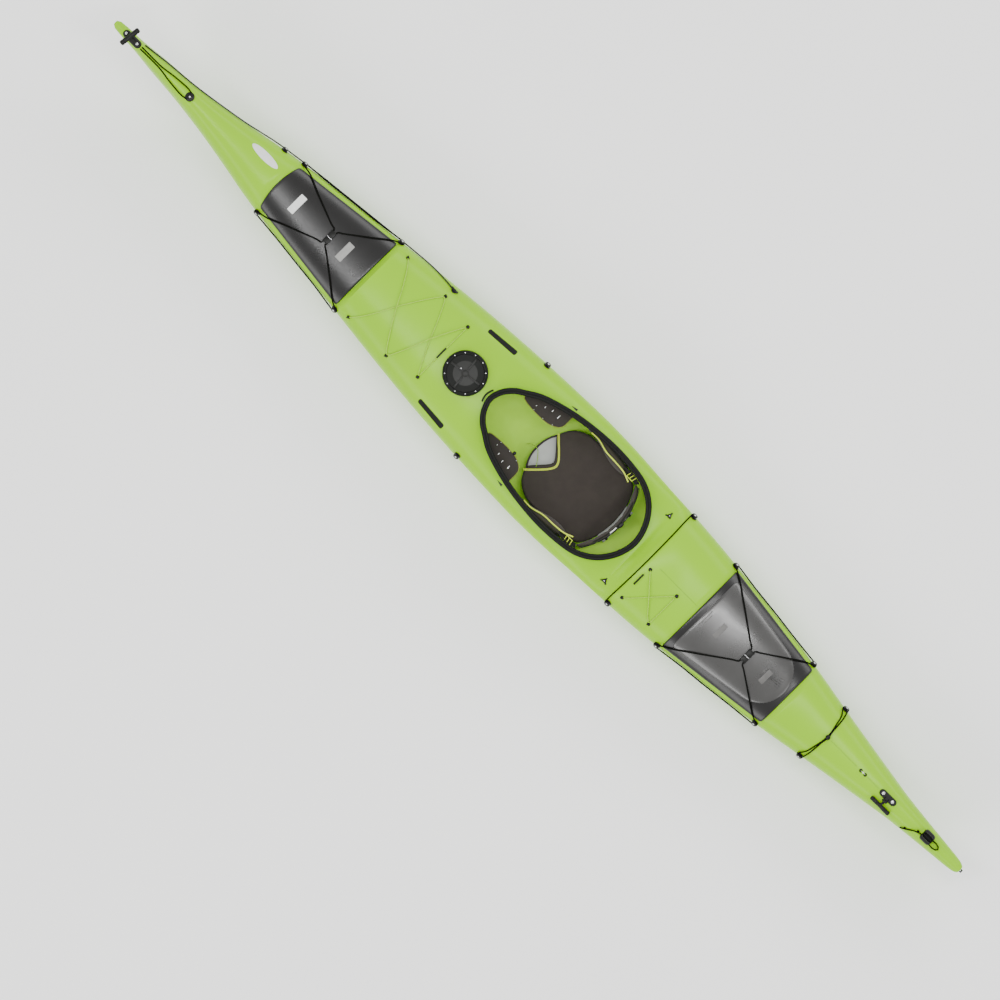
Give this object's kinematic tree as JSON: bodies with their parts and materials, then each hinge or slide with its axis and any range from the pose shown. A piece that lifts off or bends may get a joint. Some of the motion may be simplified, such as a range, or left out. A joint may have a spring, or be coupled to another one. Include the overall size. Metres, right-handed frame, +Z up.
{
  "type": "sea kayak",
  "caption": "Lime-green sea kayak with rubber hatch covers, a round day hatch, a padded cockpit with foot braces, deck lines and carrying handles.",
  "frame": {"origin": "centre of the boat's bounding box in plan, at the lowest point of the hull", "axes": "+X to the bow, +Y to port, +Z up"},
  "size_m": [5.17, 0.5856, 0.4378],
  "materials": {
    "lime": "glossy lime green gelcoat",
    "rubber": "satin black rubber",
    "cover": "moulded matt black hatch cover",
    "nylon": "moulded black nylon",
    "cord": "woven black cord",
    "elastic": "woven lime shock cord",
    "fabric": "charcoal upholstery with lime piping",
    "foam": "light grey closed-cell foam",
    "alloy": "satin anodised aluminium"
  },
  "bodies": {
    "boat": {"aft_deck_elastic": "elastic", "bow_handle_plate": "nylon", "bow_loop": "cord", "coaming_trim": "rubber", "day_hatch_pod": "nylon", "day_hatch_rim": "nylon", "deck_shell": "lime", "foot_rail_port": "alloy", "foot_rail_starboard": "alloy", "foredeck_elastic": "elastic", "front_bulkhead": "foam", "front_hatch_aft_eye_port": "nylon", "front_hatch_aft_eye_starboard": "nylon", "front_hatch_fore_eye_port": "nylon", "front_hatch_fore_eye_starboard": "nylon", "hip_pad_port": "fabric", "hip_pad_starboard": "fabric", "hull_shell": "lime", "painter_eye": "nylon", "painter_line": "cord", "rear_bulkhead": "foam", "rear_hatch_aft_eye_port": "nylon", "rear_hatch_aft_eye_starboard": "nylon", "rear_hatch_fore_eye_port": "nylon", "rear_hatch_fore_eye_starboard": "nylon", "rudder_bush": "nylon", "rudder_rest": "nylon", "seat_cushion": "fabric", "seat_pan": "foam", "side_eye_port": "nylon", "side_eye_starboard": "nylon", "stern_bail": "alloy", "stern_bungee": "cord", "stern_eye_port": "nylon", "stern_eye_starboard": "nylon", "stern_handle_plate": "nylon", "thigh_brace_port": "nylon", "thigh_brace_starboard": "nylon", "tow_eye_port": "nylon", "tow_eye_starboard": "nylon", "tow_line": "cord"},
    "front_hatch": {"front_hatch_cover": "cover", "front_hatch_gasket": "rubber", "front_buckle_body": "nylon", "front_hatch_line_starboard": "cord"},
    "front_buckle": {"front_buckle_tongue": "nylon", "front_hatch_line_port": "cord"},
    "rear_hatch": {"rear_hatch_cover": "cover", "rear_hatch_gasket": "rubber", "rear_buckle_body": "nylon", "rear_hatch_line_starboard": "cord"},
    "rear_buckle": {"rear_buckle_tongue": "nylon", "rear_hatch_line_port": "cord"},
    "day_hatch_carrier": {"day_hatch_seal": "rubber"},
    "day_hatch": {"day_hatch_lid": "nylon"},
    "foot_peg_port": {"foot_peg_port": "nylon"},
    "foot_peg_starboard": {"foot_peg_starboard": "nylon"},
    "back_band": {"back_band": "fabric"},
    "bow_toggle": {"bow_toggle": "nylon"},
    "stern_handle": {"stern_handle": "nylon"}
  },
  "joints": [
    {"name": "front_hatch_lift", "type": "slide", "parent": "boat", "child": "front_hatch", "axis": [0, 0, 1], "range_m": [0, 0.15], "deforming": ["front_hatch_line_starboard"]},
    {"name": "front_buckle_release", "type": "slide", "parent": "front_hatch", "child": "front_buckle", "axis": [0, 1, 0], "range_m": [0, 0.024], "deforming": ["front_hatch_line_port"]},
    {"name": "rear_hatch_lift", "type": "slide", "parent": "boat", "child": "rear_hatch", "axis": [0, 0, 1], "range_m": [0, 0.15], "deforming": ["rear_hatch_line_starboard"]},
    {"name": "rear_buckle_release", "type": "slide", "parent": "rear_hatch", "child": "rear_buckle", "axis": [0, 1, 0], "range_m": [0, 0.024], "deforming": ["rear_hatch_line_port"]},
    {"name": "day_hatch_lift", "type": "slide", "parent": "boat", "child": "day_hatch_carrier", "axis": [0, 0, 1], "range_m": [0, 0.08]},
    {"name": "day_hatch_turn", "type": "hinge", "parent": "day_hatch_carrier", "child": "day_hatch", "pos_m": [0.454, 0, 0.36], "axis": [0, 0, 1], "range_deg": [0, 90]},
    {"name": "foot_peg_port_slide", "type": "slide", "parent": "boat", "child": "foot_peg_port", "axis": [0.9947, -0.1026, 0], "range_m": [-0.13, 0.13]},
    {"name": "foot_peg_starboard_slide", "type": "slide", "parent": "boat", "child": "foot_peg_starboard", "axis": [0.9947, 0.1026, 0], "range_m": [-0.13, 0.13]},
    {"name": "back_band_tilt", "type": "hinge", "parent": "boat", "child": "back_band", "pos_m": [-0.475, 0, 0.098], "axis": [0, 1, 0], "range_deg": [-6, 18]},
    {"name": "bow_toggle_swivel", "type": "hinge", "parent": "boat", "child": "bow_toggle", "pos_m": [2.499, 0, 0.4], "axis": [0, 0, 1], "continuous": true},
    {"name": "stern_handle_fold", "type": "hinge", "parent": "boat", "child": "stern_handle", "pos_m": [-2.132, 0.021, 0.30623], "axis": [1, 0, 0], "range_deg": [0, 100]}
  ]
}
